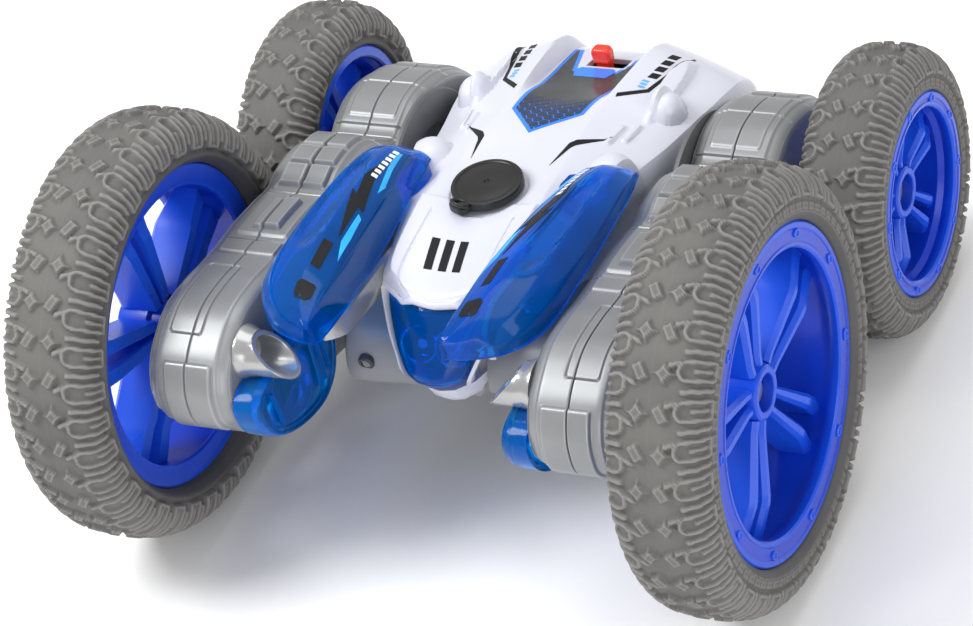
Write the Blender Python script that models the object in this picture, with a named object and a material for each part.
"""RC stunt car: two swing arms, each with a large front and a small rear wheel, on a central body.

Frame: +Z up, nose towards -Y, car's left side towards +X, origin on the ground under the middle
of the overall box. Sizes are in millimetres, and y is counted from the point midway between the
axles; new_object turns both into the scene's frame. Left pieces end in _l and have side = 1,
right pieces end in _r and have side = -1. "Outer" means away from the car's middle plane.
"""

import functools
import math
from collections import namedtuple
from typing import NamedTuple

import bmesh
import bpy
from mathutils import Vector

# ---------------------------------------------------------------- driving dimensions
MM = 0.001
SIDES = (("l", 1), ("r", -1))
GAP = 0.3               # clearance between neighbouring pieces
AXLE_MID_Y = 10.0       # scene y of the point midway between the axles
HALF_BASE = 57.885      # half the wheelbase

# wheels and axles
RIM_LIP = 2.4           # thickness of the two rim flanges
HUB_R = 9.5
HUB_RECESS_R = 5.5
HUB_SET_BACK = 6.1      # hub and spoke faces behind the rim's outer face
HUB_RECESS_DEPTH = 5.0
AXLE_R = 3.0
RUN_GAP = 0.14          # radial running clearance of axles and pivots
BORE_GAP = 0.15         # radial clearance of the fixed bores

# gear stage
GEAR_IN_X, GEAR_OUT_X = 66.6, 71.2
GEAR_TEETH, PINION_TEETH, GEAR_MODULE = 24, 8, 1.0
CENTRE_DIST = GEAR_MODULE * (GEAR_TEETH + PINION_TEETH) / 2.0 + 0.2
MOTOR_R, MOTOR_IN_X, MOTOR_OUT_X = 7.6, 49.9, 63.6

# swing arms, seen from the side
Circle = namedtuple("Circle", "y z radius")
LOBE = Circle(-73.0, 68.6, 24.8)    # front lobe
BUMP = Circle(0.0, 60.0, 25.8)      # middle bump
DRUM = Circle(43.0, 46.0, 33.0)     # rear drum
TAIL = Circle(58.0, 45.0, 27.0)     # tail around the rear axle
SEAM_X = 61.0           # the arm's two half shells meet here
ARM_IN_X, ARM_OUT_X = 47.3, 75.2
ARM_WALL = 2.3
PIVOT = (36.0, 48.7)    # y, z of the swing axis of both arms
PIVOT_R = 7.0

# body
BODY_WALL = 2.0
BELLY_Z = 22.0
DOOR_HALF, DOOR_FRONT, DOOR_REAR = 19.0, 30.0, 74.0
DOOR_SCREW_AT = (0, DOOR_REAR - 5.0)
BEARING_R = 10.5
PLUG_Y, PLUG_Z, PLUG_R = -7.6, 86.6, 11.0
PLUG_HINGE_R = 13.0     # from the plug's centre to its hinge
PLUG_HINGE_ANGLE = math.radians(247)
SWITCH_Y = 76.0


class Wheel(NamedTuple):
    """One wheel size. face and back are the rim's outer and inner faces, from centre_x."""
    place: str
    axle_y: float
    radius: float
    half_width: float
    centre_x: float
    flange_r: float
    bead_r: float
    lip_r: float
    face: float
    back: float
    mesh_angle: float   # direction from the axle to its pinion

    @property
    def centre(self):
        return (self.axle_y, self.radius)

    @property
    def hub_face(self):
        return self.face - HUB_SET_BACK

    @property
    def recess_floor(self):
        return self.hub_face - HUB_RECESS_DEPTH

    def origin(self, side):
        return (side * self.centre_x, *self.centre)


FRONT = Wheel("front", axle_y=-HALF_BASE, radius=65.0, half_width=15.75, centre_x=95.82,
              flange_r=49.0, bead_r=46.0, lip_r=41.0, face=13.4, back=-10.8,
              mesh_angle=math.radians(195))
REAR = Wheel("rear", axle_y=HALF_BASE, radius=45.0, half_width=13.6, centre_x=95.1,
             flange_r=31.2, bead_r=28.6, lip_r=25.6, face=12.6, back=-11.4,
             mesh_angle=math.radians(120))

# ---------------------------------------------------------------- materials
# name: base colour, roughness, metallic
MATERIALS = {
    "tyre_rubber": ((0.30, 0.29, 0.28), 0.85, 0.0),
    "rim_blue": ((0.02, 0.12, 0.80), 0.30, 0.0),
    "arm_silver": ((0.52, 0.53, 0.55), 0.38, 0.55),
    "pipe_silver": ((0.60, 0.60, 0.62), 0.25, 0.80),
    "lens_blue": ((0.02, 0.25, 0.75), 0.08, 0.0),
    "body_white": ((0.86, 0.87, 0.92), 0.22, 0.0),
    "chassis_grey": ((0.46, 0.46, 0.47), 0.4, 0.0),
    "cap_rubber": ((0.03, 0.03, 0.03), 0.60, 0.0),
    "switch_red": ((0.75, 0.04, 0.03), 0.30, 0.0),
    "dark_plastic": ((0.10, 0.10, 0.11), 0.45, 0.0),
    "axle_nylon": ((0.80, 0.79, 0.74), 0.40, 0.0),
    "screw_steel": ((0.55, 0.55, 0.56), 0.30, 1.0),
    "motor_steel": ((0.62, 0.62, 0.64), 0.28, 1.0),
    "pinion_brass": ((0.75, 0.58, 0.28), 0.30, 1.0),
    "board_green": ((0.04, 0.22, 0.09), 0.50, 0.0),
    "battery_wrap": ((0.06, 0.16, 0.45), 0.35, 0.0),
}


@functools.cache
def material(name):
    colour, roughness, metallic = MATERIALS[name]
    mat = bpy.data.materials.new(name)
    mat.use_nodes = True
    shader = next(n for n in mat.node_tree.nodes if n.type == "BSDF_PRINCIPLED")
    shader.inputs["Base Color"].default_value = (*colour, 1)
    shader.inputs["Roughness"].default_value = roughness
    shader.inputs["Metallic"].default_value = metallic
    return mat


# ---------------------------------------------------------------- objects
def new_object(name, shape, mat_name, origin=(0.0, 0.0, 0.0), smooth=False):
    """Makes an object from a shape, which is a pair (verts, faces)."""
    verts, faces = shape
    origin = Vector(origin)
    bm = bmesh.new()
    bm_verts = [bm.verts.new((Vector(v) - origin) * MM) for v in verts]
    for face in faces:
        bm.faces.new([bm_verts[i] for i in face])
    bmesh.ops.recalc_face_normals(bm, faces=bm.faces[:])
    mesh = bpy.data.meshes.new(name)
    bm.to_mesh(mesh)
    bm.free()
    for polygon in mesh.polygons:
        polygon.use_smooth = smooth
    mesh.materials.append(material(mat_name))
    ob = bpy.data.objects.new(name, mesh)
    ob.location = (origin.x * MM, (origin.y + AXLE_MID_Y) * MM, origin.z * MM)
    bpy.context.collection.objects.link(ob)
    return ob


def boolean(ob, operation, shape):
    """Applies an exact boolean between the object and a shape."""
    tool = new_object("tool", shape, ob.data.materials[0].name)
    modifier = ob.modifiers.new("cut", "BOOLEAN")
    modifier.operation = operation
    modifier.solver = "EXACT"
    modifier.object = tool
    bpy.context.view_layer.update()
    evaluated = ob.evaluated_get(bpy.context.evaluated_depsgraph_get())
    mesh = bpy.data.meshes.new_from_object(evaluated)
    old_mesh, tool_mesh = ob.data, tool.data
    ob.modifiers.clear()
    ob.data = mesh
    bpy.data.objects.remove(tool, do_unlink=True)
    bpy.data.meshes.remove(old_mesh)
    bpy.data.meshes.remove(tool_mesh)
    mesh.name = ob.name
    while len(mesh.materials) > 1:
        mesh.materials.pop()
    for polygon in mesh.polygons:
        polygon.material_index = 0


# ---------------------------------------------------------------- shapes
BOX_FACES = [(0, 1, 3, 2), (4, 6, 7, 5), (0, 4, 5, 1), (2, 3, 7, 6), (0, 2, 6, 4), (1, 5, 7, 3)]


def box(x0, x1, y0, y1, z0, z1):
    return [(x, y, z) for x in (x0, x1) for y in (y0, y1) for z in (z0, z1)], BOX_FACES


def merge(shapes):
    """Several shapes as one."""
    verts, faces = [], []
    for shape_verts, shape_faces in shapes:
        start = len(verts)
        verts += shape_verts
        faces += [tuple(i + start for i in face) for face in shape_faces]
    return verts, faces


def lathe(profile, centre, seg, side=1, shift=0.0, closed=False, phase=0.0):
    """Surface of revolution about X through centre (y, z).

    profile: (radius, x), x counted outwards from shift. closed: the profile is a closed loop.
    """
    cy, cz = centre
    verts, rows, faces = [], [], []
    for radius, x in profile:
        x = side * (shift + x)
        if radius == 0:
            rows.append([len(verts)])
            verts.append((x, cy, cz))
            continue
        rows.append(range(len(verts), len(verts) + seg))
        for k in range(seg):
            angle = phase + 2 * math.pi * k / seg
            verts.append((x, cy + radius * math.cos(angle), cz + radius * math.sin(angle)))
    for a, b in zip(rows, rows[1:] + (rows[:1] if closed else [])):
        for k in range(seg):
            k2 = (k + 1) % seg
            if len(a) == 1:
                faces.append((a[0], b[k], b[k2]))
            elif len(b) == 1:
                faces.append((a[k], b[0], a[k2]))
            else:
                faces.append((a[k], b[k], b[k2], a[k2]))
    return verts, faces


def lathe_z(profile, centre, seg):
    """Solid of revolution about a vertical axis at (x, y). profile: (radius, z)."""
    verts, faces = lathe(profile, (0.0, 0.0), seg)
    return [(centre[0] + y, centre[1] + z, x) for x, y, z in verts], faces


def cylinder(x0, x1, centre, radius, seg, side=1):
    return lathe([(0, x0), (radius, x0), (radius, x1), (0, x1)], centre, seg, side)


def loft(rings):
    """Closed surface through a run of equal-length rings of points, capped at both ends."""
    n = len(rings[0])
    verts = [p for ring in rings for p in ring]
    faces = [tuple(range(n)), tuple(range(len(verts) - n, len(verts)))]
    for start in range(0, len(verts) - n, n):
        for k in range(n):
            a, b = start + k, start + (k + 1) % n
            faces.append((a, b, b + n, a + n))
    return verts, faces


def loft_x(side, stations):
    """Loft along X. stations: (x, loop of (y, z))."""
    return loft([[(side * x, y, z) for y, z in loop] for x, loop in stations])


def trough(outer, inner):
    """Shell with one open side, from matching outer and inner sections that end at that side."""
    sections, points = len(outer), len(outer[0])
    verts = [p for section in outer + inner for p in section]
    offset = sections * points      # from an outer point to its inner one
    faces = []
    for start in (0, offset):
        rows = [range(start + s * points, start + (s + 1) * points) for s in range(sections)]
        for a, b in zip(rows, rows[1:]):
            faces += [(a[k], b[k], b[k + 1], a[k + 1]) for k in range(points - 1)]
        faces += [tuple(rows[0]), tuple(rows[-1])]
    rim = [s * points for s in range(sections)]
    rim += [i + points - 1 for i in reversed(rim)]
    faces += [(a, b, b + offset, a + offset) for a, b in zip(rim, rim[1:] + rim[:1])]
    return verts, faces


def inset(loop, distance):
    """Moves every point of a loop inwards; sharp corners move less than a full mitre."""
    n = len(loop)
    area = sum(loop[i][0] * loop[(i + 1) % n][1] - loop[(i + 1) % n][0] * loop[i][1]
               for i in range(n))
    turn = 1.0 if area > 0 else -1.0
    moved = []
    for i in range(n):
        before, here, after = Vector(loop[i - 1]), Vector(loop[i]), Vector(loop[(i + 1) % n])
        edge1, edge2 = (here - before).normalized(), (after - here).normalized()
        normal1 = Vector((-edge1.y, edge1.x)) * turn
        normal2 = Vector((-edge2.y, edge2.x)) * turn
        mitre = (normal1 + normal2).normalized()
        step = distance / max(0.6, mitre.dot(normal1))
        moved.append((here.x + mitre.x * step, here.y + mitre.y * step))
    return moved


def interpolate(table, y):
    """Values at y, by linear interpolation between the rows (y, a, b, ...) on either side."""
    for low, high in zip(table, table[1:]):
        if y <= high[0]:
            t = (y - low[0]) / (high[0] - low[0])
            return tuple(a + (b - a) * t for a, b in zip(low[1:], high[1:]))


def wall_y(y, table, wall):
    """Keeps y at least a wall inside the two ends of a station table."""
    return min(max(y, table[0][0] + wall), table[-1][0] - wall)


def gear_loop(teeth, tooth_at, centre):
    """Outline of a spur gear with one tooth centred on the angle tooth_at."""
    pitch_r = teeth * GEAR_MODULE / 2.0
    tip_r, root_r = pitch_r + 0.75 * GEAR_MODULE, pitch_r - 1.1 * GEAR_MODULE
    half_tip = 0.34 * GEAR_MODULE / tip_r       # half the tooth tip, as an angle
    loop = []
    for k in range(teeth):
        a = tooth_at + 2 * math.pi * k / teeth
        loop += [(tip_r, a - half_tip), (tip_r, a + half_tip), (root_r, a + math.pi / teeth)]
    return [(centre[0] + r * math.cos(a), centre[1] + r * math.sin(a)) for r, a in loop]


# ---------------------------------------------------------------- wheels
WHEEL_SEG = 24


def tyre(tag, side, w):
    wall = w.radius - w.flange_r
    bulge_r, shoulder_r = w.flange_r + 0.45 * wall, w.flange_r + 0.78 * wall
    shoulder_x, tread_x = w.half_width - 1.4, 0.4 * w.half_width
    foot_r, bead_r = w.flange_r + GAP, w.bead_r + GAP
    bead_out, bead_in = w.face - RIM_LIP - GAP, w.back + RIM_LIP + GAP
    profile = [
        (foot_r, w.face - 0.2), (bulge_r, w.half_width), (shoulder_r, shoulder_x),
        (w.radius, tread_x), (w.radius, -tread_x),
        (shoulder_r, -shoulder_x), (bulge_r, -w.half_width), (foot_r, w.back - 0.2),
        (foot_r, bead_in), (bead_r, bead_in), (bead_r, bead_out), (foot_r, bead_out),
    ]
    shape = lathe(profile, w.centre, WHEEL_SEG, side, w.centre_x, closed=True)
    new_object(f"tyre_{w.place}_{tag}", shape, "tyre_rubber", w.origin(side), smooth=True)


def spoke(side, w, angle):
    half_width, depth = 3.4, 8.5
    cos, sin = math.cos(angle), math.sin(angle)
    verts = [(side * (w.centre_x + x), w.axle_y + r * cos - t * sin, w.radius + r * sin + t * cos)
             for x in (w.hub_face - depth, w.hub_face)
             for t in (-half_width, half_width)
             for r in (HUB_R - 1.6, w.bead_r - 1.2)]
    return verts, BOX_FACES


def rim(tag, side, w):
    barrel_r = w.bead_r - 2.4       # inside of the barrel
    barrel = [
        (w.flange_r, w.face), (w.flange_r, w.face - RIM_LIP), (w.bead_r, w.face - RIM_LIP),
        (w.bead_r, w.back + RIM_LIP), (w.flange_r, w.back + RIM_LIP), (w.flange_r, w.back),
        (barrel_r, w.back), (barrel_r, w.face - 5.0), (w.lip_r, w.face),
    ]
    shape = lathe(barrel, w.centre, WHEEL_SEG, side, w.centre_x, closed=True)
    ob = new_object(f"rim_{w.place}_{tag}", shape, "rim_blue", w.origin(side))
    boolean(ob, "UNION", merge([spoke(side, w, math.radians(90 + 72 * k)) for k in range(5)]))

    hub_out, hub_in, bore_r = w.hub_face + 0.2, w.back + 0.3, AXLE_R + BORE_GAP
    hub = [(HUB_R, hub_out), (HUB_R, hub_in), (bore_r, hub_in), (bore_r, w.recess_floor),
           (HUB_RECESS_R, w.recess_floor), (HUB_RECESS_R, hub_out)]
    boolean(ob, "UNION", lathe(hub, w.centre, 16, side, w.centre_x, closed=True,
                               phase=math.radians(3)))


def axle(tag, side, w):
    """Axle with its gear, bored at the outer end for the wheel screw."""
    bore_r, bore_depth = 1.4, 8.0
    inner_end = GEAR_IN_X - 3.0
    outer_end = w.centre_x + w.recess_floor - 0.5
    profile = [(0, inner_end), (AXLE_R, inner_end), (AXLE_R, outer_end), (bore_r, outer_end),
               (bore_r, outer_end - bore_depth), (0, outer_end - bore_depth)]
    ob = new_object(f"axle_{w.place}_{tag}", lathe(profile, w.centre, 16, side),
                    "axle_nylon", w.origin(side))
    teeth = gear_loop(GEAR_TEETH, w.mesh_angle, w.centre)
    boolean(ob, "UNION", loft_x(side, [(GEAR_IN_X, teeth), (GEAR_OUT_X, teeth)]))


def wheel_screw(tag, side, w):
    # radius, x from the floor of the hub recess
    profile = [(0, 3.0), (3.2, 3.0), (4.4, 2.2), (4.4, GAP), (1.2, GAP), (1.2, -7.0), (0, -7.0)]
    shape = lathe(profile, w.centre, 12, side, w.centre_x + w.recess_floor)
    new_object(f"wheel_screw_{w.place}_{tag}", shape, "screw_steel", w.origin(side))


# ---------------------------------------------------------------- arm cases
# y, z of the straight webs that join the circles
TOP_WEB = [(LOBE.y, 92.6), (8.0, 84.6), (25.0, 74.4), (DRUM.y, 75.0)]
BOTTOM_WEB = [(LOBE.y, 44.6), (-50.0, 43.0), (22.0, 24.0), (DRUM.y, 16.0)]
ARM_MIDDLE_YS = [LOBE.y, -30.0, -4.0, 10.0, 18.0, 25.5, 34.0, 46.0, TAIL.y]


def arm_edge(y, circles, web, sign):
    """Outermost z at y of the circles and the web: upper edge for sign 1, lower for -1."""
    heights = [c.z + sign * math.sqrt(c.radius ** 2 - (y - c.y) ** 2)
               for c in circles if c.radius ** 2 - (y - c.y) ** 2 >= 0]
    if web[0][0] <= y <= web[-1][0]:
        heights.append(interpolate(web, y)[0])
    return max(heights, key=lambda z: sign * z)


def arm_loop():
    ys = list(ARM_MIDDLE_YS)
    for k in range(5):                       # fine stations round both ends
        ys.append(LOBE.y - LOBE.radius * math.cos(math.pi / 2 * k / 5))
        ys.append(TAIL.y + TAIL.radius * math.cos(math.pi / 2 * k / 5))
    ys.sort()
    top = [(y, arm_edge(y, (LOBE, BUMP, DRUM, TAIL), TOP_WEB, 1)) for y in ys]
    bottom = [(y, arm_edge(y, (LOBE, DRUM, TAIL), BOTTOM_WEB, -1)) for y in ys[1:-1]]
    return top + bottom[::-1]


def arm_origin(side):
    return (side * ARM_IN_X, *PIVOT)


def arm_case(name, side, seam_x, bend_x, face_x, floor_x):
    """Half shell, open at the seam; beyond bend_x the outside narrows to the face."""
    base = arm_loop()
    shape = loft_x(side, [(floor_x, inset(base, ARM_WALL + 1.2)), (seam_x, inset(base, ARM_WALL)),
                          (seam_x, base), (bend_x, base), (face_x, inset(base, 3.0))])
    return new_object(name, shape, "arm_silver", arm_origin(side))


def arm_case_outer(tag, side):
    ob = arm_case(f"arm_case_outer_{tag}", side, SEAM_X + GAP / 2, bend_x=71.6,
                  face_x=ARM_OUT_X, floor_x=ARM_OUT_X - ARM_WALL)
    # a boss round each axle, then the axle holes
    for operation, inward, outward, radius in (("UNION", 1.6, 4.4, 7.5),
                                               ("DIFFERENCE", 8, 8, AXLE_R + RUN_GAP)):
        boolean(ob, operation, merge([
            cylinder(ARM_OUT_X - inward, ARM_OUT_X + outward, w.centre, radius, 16, side)
            for w in (FRONT, REAR)]))


def arm_case_inner(tag, side):
    ob = arm_case(f"arm_case_inner_{tag}", side, SEAM_X - GAP / 2, bend_x=50.6,
                  face_x=ARM_IN_X, floor_x=ARM_IN_X + ARM_WALL)
    boolean(ob, "DIFFERENCE",
            cylinder(ARM_IN_X - 3, ARM_IN_X + 6, PIVOT, PIVOT_R + BORE_GAP, 20, side))


# ---------------------------------------------------------------- arm fittings
def pivot_disc(tag, side):
    disc_r, bore_r = 31.0, PIVOT_R + BORE_GAP
    in_x, out_x = 45.2, ARM_IN_X - GAP
    profile = [(bore_r, in_x), (disc_r, in_x), (disc_r, out_x), (bore_r, out_x)]
    new_object(f"pivot_disc_{tag}", lathe(profile, PIVOT, 24, side, closed=True),
               "dark_plastic", arm_origin(side))


def pivot_shaft(tag, side):
    """Hollow shaft with a collar at each end."""
    bore_r, collar_r = 3.0, 9.0
    profile = [(bore_r, 29.6), (collar_r, 29.6), (collar_r, 32.2), (PIVOT_R, 32.2),
               (PIVOT_R, 50.0), (collar_r, 50.0), (collar_r, 52.5), (bore_r, 52.5)]
    new_object(f"pivot_shaft_{tag}", lathe(profile, PIVOT, 20, side, closed=True),
               "axle_nylon", arm_origin(side))


# y, z outline of the lens on the front lobe's inner side
ARM_LENS = [
    (-97.0, 74.4), (-97.6, 68.0), (-89.0, 58.5), (-73.0, 49.0), (-59.0, 44.6), (-50.0, 52.0),
    (-47.5, 62.0), (-50.5, 73.0), (-57.0, 80.0), (-68.0, 80.4), (-73.0, 73.2), (-92.0, 73.2),
]


def arm_lens(tag, side):
    """Hollow lens, open towards the arm."""
    rim_x = ARM_IN_X - GAP
    shape = loft_x(side, [(40.2, inset(ARM_LENS, 2.2)), (rim_x, inset(ARM_LENS, 1.8)),
                          (rim_x, ARM_LENS), (40.4, ARM_LENS), (38.4, inset(ARM_LENS, 1.6))])
    new_object(f"arm_lens_{tag}", shape, "lens_blue", arm_origin(side))


def arm_lamp(tag, side):
    """Board behind the arm lens, with two square lamps."""
    half_lamp, lamp_z = 2.2, 62.0
    ob = new_object(f"arm_lamp_{tag}", box(side * 45.0, side * 46.6, -76.0, -56.0, 55.0, 69.0),
                    "board_green", arm_origin(side))
    boolean(ob, "UNION", merge([
        box(side * 42.6, side * 45.4, y - half_lamp, y + half_lamp,
            lamp_z - half_lamp, lamp_z + half_lamp) for y in (-71.0, -61.0)]))


def side_pipe(tag, side):
    """Pipe under the fender, with an oblique hollow mouth at its inner end."""
    outer_r, bore_r, seg = 7.4, 5.4, 16
    cy, cz = -82.2, 81.6
    mouth_x, bore_end_x = 31.0, 41.0
    mouth_slope = 0.75      # x gained per unit of z
    rings = []
    for radius, x, slope in ((bore_r, bore_end_x, 0.0), (bore_r, mouth_x, mouth_slope),
                             (outer_r, mouth_x, mouth_slope), (outer_r, ARM_IN_X - GAP, 0.0)):
        angles = [2 * math.pi * k / seg for k in range(seg)]
        rings.append([(side * (x + slope * (radius * math.sin(a) + outer_r)),
                       cy + radius * math.cos(a), cz + radius * math.sin(a)) for a in angles])
    new_object(f"side_pipe_{tag}", loft(rings), "pipe_silver", arm_origin(side))


def motor_centre(w):
    return (w.axle_y + CENTRE_DIST * math.cos(w.mesh_angle),
            w.radius + CENTRE_DIST * math.sin(w.mesh_angle))


def motor(tag, side, w):
    nose_r, shaft_r = 2.6, 0.9
    nose_x, shaft_x = MOTOR_OUT_X + 1.2, GEAR_OUT_X + 0.9
    centre = motor_centre(w)
    profile = [(0, MOTOR_IN_X), (MOTOR_R - 1.0, MOTOR_IN_X), (MOTOR_R, MOTOR_IN_X + 1.0),
               (MOTOR_R, MOTOR_OUT_X), (nose_r, MOTOR_OUT_X), (nose_r, nose_x),
               (shaft_r, nose_x), (shaft_r, shaft_x), (0, shaft_x)]
    new_object(f"motor_{w.place}_{tag}", lathe(profile, centre, 12, side),
               "motor_steel", (side * MOTOR_IN_X, *centre))


def pinion(tag, side, w):
    bore_r, end_gap = 1.08, 0.2
    centre = motor_centre(w)
    # a gap between teeth faces the wheel's gear
    teeth = gear_loop(PINION_TEETH, w.mesh_angle + math.pi + math.pi / PINION_TEETH, centre)
    shape = loft_x(side, [(GEAR_IN_X + end_gap, teeth), (GEAR_OUT_X - end_gap, teeth)])
    ob = new_object(f"pinion_{w.place}_{tag}", shape, "pinion_brass",
                    (side * GEAR_IN_X, *centre))
    boolean(ob, "DIFFERENCE",
            cylinder(GEAR_IN_X - 2, GEAR_OUT_X + 2, centre, bore_r, 10, side))


# ---------------------------------------------------------------- body shells
# y, half width, seam z, shoulder z, ridge x, ridge z, middle z
UPPER = [
    (-50.0, 20.0, 60.0, 76.0, 12.0, 84.0, 82.0),
    (-26.0, 27.0, 59.0, 80.0, 15.0, 86.6, 84.6),
    (-7.0, 31.5, 57.0, 80.0, 17.0, 87.0, 86.0),
    (14.0, 36.0, 55.0, 78.0, 18.0, 86.6, 85.2),
    (50.0, 42.5, 52.0, 71.0, 20.0, 82.0, 78.0),
    (80.0, 43.5, 49.0, 64.0, 20.0, 76.5, 70.0),
    (98.0, 37.0, 47.0, 52.0, 18.0, 56.0, 55.0),
]
# y, half width at the belly, belly z
LOWER = [(-50.0, 15.0, 43.0), (-26.0, 20.0, 37.0), (14.0, 29.0, 25.0),
         (26.0, 31.0, BELLY_Z), (80.0, 33.0, BELLY_Z), (98.0, 28.0, 32.0)]


def upper_section(y, wall):
    half, seam_z, shoulder_z, ridge_x, ridge_z, middle_z = interpolate(UPPER, y)
    left = [(ridge_x - 0.3 * wall, ridge_z - wall), (half - wall, shoulder_z - 0.8 * wall),
            (half - wall, seam_z)]
    return [(-x, z) for x, z in reversed(left)] + [(0.0, middle_z - wall)] + left


def lower_section(y, wall):
    half, seam_z = interpolate(UPPER, y)[:2]
    belly_half, belly_z = interpolate(LOWER, y)
    top = (half - wall, seam_z - GAP)
    bottom = (belly_half - 0.9 * wall, belly_z + wall)
    return [(-top[0], top[1]), (-bottom[0], bottom[1]), bottom, top]


def body_half(section, ys):
    """Trough along Y whose (x, z) outline at y is section(y, wall)."""
    outer, inner = ([[(x, wall_y(y, UPPER, wall), z) for x, z in section(y, wall)] for y in ys]
                    for wall in (0, BODY_WALL))
    return trough(outer, inner)


def pivot_cylinders(x0, x1, radius):
    return [cylinder(x0, x1, PIVOT, radius, 20, side) for side in (-1, 1)]


def body_shell():
    ob = new_object("body_shell", body_half(upper_section, [row[0] for row in UPPER]),
                    "body_white")
    # openings for the filler plug, the switch and the pivot bearings
    plug_hole = lathe_z([(0, 76.0), (5.6, 76.0), (5.6, 92.0), (0, 92.0)], (0, PLUG_Y), 16)
    switch_slot = box(-5.0, 8.2, SWITCH_Y - 3.4, SWITCH_Y + 3.4, 62.0, 84.0)
    bearings = pivot_cylinders(32.0, 46.0, BEARING_R + GAP)
    boolean(ob, "DIFFERENCE", merge([plug_hole, switch_slot] + bearings))


def chassis_tub():
    """Lower body with the bearings for the arm pivots and the battery door's opening."""
    ys = sorted({row[0] for row in UPPER + LOWER})
    ob = new_object("chassis_tub", body_half(lower_section, ys), "chassis_grey")
    boolean(ob, "UNION", merge(pivot_cylinders(32.6, 44.4, BEARING_R)))
    opening = box(-DOOR_HALF, DOOR_HALF, DOOR_FRONT, DOOR_REAR, BELLY_Z - 3, BELLY_Z + 6)
    boolean(ob, "DIFFERENCE", merge(pivot_cylinders(30.0, 46.0, PIVOT_R + RUN_GAP) + [opening]))


# ---------------------------------------------------------------- body fittings
def door_lathe(profile):
    """Solid on the door screw's axis. profile: (radius, height above the belly)."""
    return lathe_z([(r, BELLY_Z + z) for r, z in profile], DOOR_SCREW_AT, 12)


def battery_door():
    ob = new_object("battery_door", box(-DOOR_HALF + GAP, DOOR_HALF - GAP, DOOR_FRONT + GAP,
                                        DOOR_REAR - GAP, BELLY_Z, BELLY_Z + BODY_WALL),
                    "chassis_grey")
    boolean(ob, "DIFFERENCE", door_lathe([(0, -1), (2.9, -1), (2.9, 1.0), (1.5, 1.0),
                                          (1.5, 4), (0, 4)]))


def door_screw():
    new_object("door_screw", door_lathe([(0, 0.1), (2.5, 0.1), (2.5, 0.7), (1.2, 0.7),
                                         (1.2, 3.2), (0, 3.2)]), "screw_steel")


def battery_pack():
    new_object("battery_pack", box(-16.5, 16.5, 32.0, 66.0, 25.2, 41.0), "battery_wrap")


def circuit_board():
    ob = new_object("circuit_board", box(-23.0, 23.0, -22.0, 22.0, 50.0, 51.6), "board_green")
    # blocks on the board: x, y, x size, y size
    for x, y, width, length in ((-12.0, -10.0, 9.0, 9.0), (4.0, 2.0, 12.0, 8.0),
                                (-16.0, 8.0, 7.0, 5.0)):
        boolean(ob, "UNION", box(x, x + width, y, y + length, 51.0, 53.4))


def filler_plug():
    """Rubber disc with a short stem in the shell's hole, and a tab at its hinge."""
    cos, sin = math.cos(PLUG_HINGE_ANGLE), math.sin(PLUG_HINGE_ANGLE)
    hinge = (PLUG_HINGE_R * cos, PLUG_Y + PLUG_HINGE_R * sin, PLUG_Z + 1.4)
    stem_r, base_z = 4.9, PLUG_Z + GAP
    profile = [(0, base_z - 2.3), (stem_r, base_z - 2.3), (stem_r, base_z), (PLUG_R, base_z),
               (PLUG_R, base_z + 2.0), (PLUG_R - 1.0, base_z + 3.0), (0, base_z + 3.0)]
    ob = new_object("filler_plug", lathe_z(profile, (0, PLUG_Y), 20), "cap_rubber", hinge)
    tab = [(r * cos - t * sin, PLUG_Y + r * sin + t * cos, z)
           for r in (PLUG_R - 2.0, PLUG_HINGE_R + 0.5)
           for t in (-2.6, 2.6)
           for z in (base_z + 0.1, base_z + 1.9)]
    boolean(ob, "UNION", (tab, BOX_FACES))


def charge_socket():
    profile = [(0, 76.2), (4.2, 76.2), (4.2, 81.0), (2.6, 81.0), (2.6, 79.0), (0, 79.0)]
    new_object("charge_socket", lathe_z(profile, (0, PLUG_Y), 14), "dark_plastic")


def power_switch():
    new_object("power_slider", box(-4.4, 4.4, SWITCH_Y - 3.0, SWITCH_Y + 3.0, 65.3, 77.0),
               "switch_red", (0, SWITCH_Y, 71.0))
    new_object("switch_body", box(-9.0, 12.0, SWITCH_Y - 4.0, SWITCH_Y + 4.0, 57.0, 65.0),
               "dark_plastic")


# y, half width, bottom z, top z: from the hollow's floor, round the rim, to the front face
NOSE_LENS = [
    (-61.2, 11.0, 55.0, 68.0), (-50.0 - GAP, 17.4, 46.4, 77.4), (-50.0 - GAP, 19.4, 44.4, 79.4),
    (-58.0, 15.0, 50.0, 74.0), (-63.4, 11.4, 54.5, 68.5),
]


def nose_lens():
    def ring(y, half, z0, z1, corner=4.0):
        """Rectangle with cut corners."""
        left = [(half - corner, z1), (half, z1 - corner), (half, z0 + corner),
                (half - corner, z0)]
        right = [(-x, z) for x, z in reversed(left)]
        # starts at the right side's lower corner
        loop = right[1:] + left + right[:1]
        return [(x, y, z) for x, z in loop]

    new_object("nose_lens", loft([ring(*row) for row in NOSE_LENS]), "lens_blue")


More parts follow.
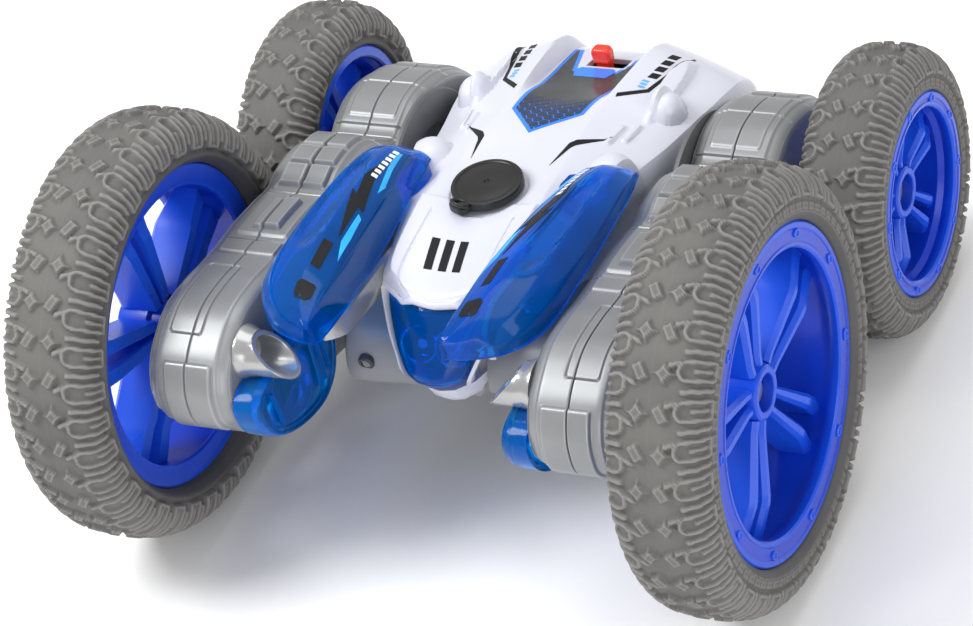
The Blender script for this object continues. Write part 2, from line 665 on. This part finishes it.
def nose_lamp():
    """Board behind the nose lens, with two tapered lamps."""
    ob = new_object("nose_lamp", box(-13.0, 13.0, -52.4, -50.4, 52.0, 72.0), "dark_plastic")
    profile = [(0, -55.6), (3.4, -55.6), (5.2, -51.4), (0, -51.4)]      # radius, y
    for lamp_x in (-6.2, 6.2):
        verts, faces = lathe(profile, (lamp_x, 62.0), 14)
        boolean(ob, "UNION", ([(y, x, z) for x, y, z in verts], faces))


# y, inner x, outer x, ridge x, ridge z, bottom z
FENDER = [
    (-84.0, 20.5, 25.5, 23.0, 91.5, 90.0),
    (-74.0, 20.5, 39.0, 28.5, 99.0, 90.4),
    (-60.0, 21.5, 45.0, 30.5, 102.2, 89.0),
    (-46.0, 22.5, 46.6, 31.0, 101.4, 88.6),
    (-22.0, 24.0, 46.6, 33.0, 98.6, 88.2),
    (-2.0, 26.5, 45.0, 35.0, 94.8, 87.0),
    (10.0, 30.0, 41.0, 35.0, 88.6, 85.0),
]


def fender(tag, side):
    """Open-bottomed blade over the arm's inner edge."""
    def section(row, wall):
        y, in_x, out_x, ridge_x, ridge_z, bottom_z = row
        bend_z = bottom_z + 0.62 * (ridge_z - bottom_z) - 0.3 * wall
        points = [(in_x + wall, bottom_z),
                  (in_x + 0.22 * (ridge_x - in_x) + 0.8 * wall, bend_z),
                  (ridge_x, ridge_z - wall),
                  (out_x - 0.22 * (out_x - ridge_x) - 0.8 * wall, bend_z),
                  (out_x - wall, bottom_z)]
        return [(side * x, wall_y(y, FENDER, wall), z) for x, z in points]

    walls = [0.9] + [1.4] * (len(FENDER) - 2) + [0.9]       # thinner at both ends
    shape = trough([section(row, 0.0) for row in FENDER],
                   [section(row, wall) for row, wall in zip(FENDER, walls)])
    new_object(f"fender_{tag}", shape, "lens_blue")


# ---------------------------------------------------------------- build
def main():
    for ob in list(bpy.data.objects):
        bpy.data.objects.remove(ob, do_unlink=True)
    for tag, side in SIDES:
        for w in (FRONT, REAR):
            for build in (tyre, rim, axle, wheel_screw, motor, pinion):
                build(tag, side, w)
        for build in (arm_case_outer, arm_case_inner, pivot_disc, pivot_shaft, arm_lens,
                      arm_lamp, side_pipe, fender):
            build(tag, side)
    for build in (body_shell, chassis_tub, battery_door, door_screw, battery_pack,
                  circuit_board, filler_plug, charge_socket, power_switch, nose_lens, nose_lamp):
        build()


main()
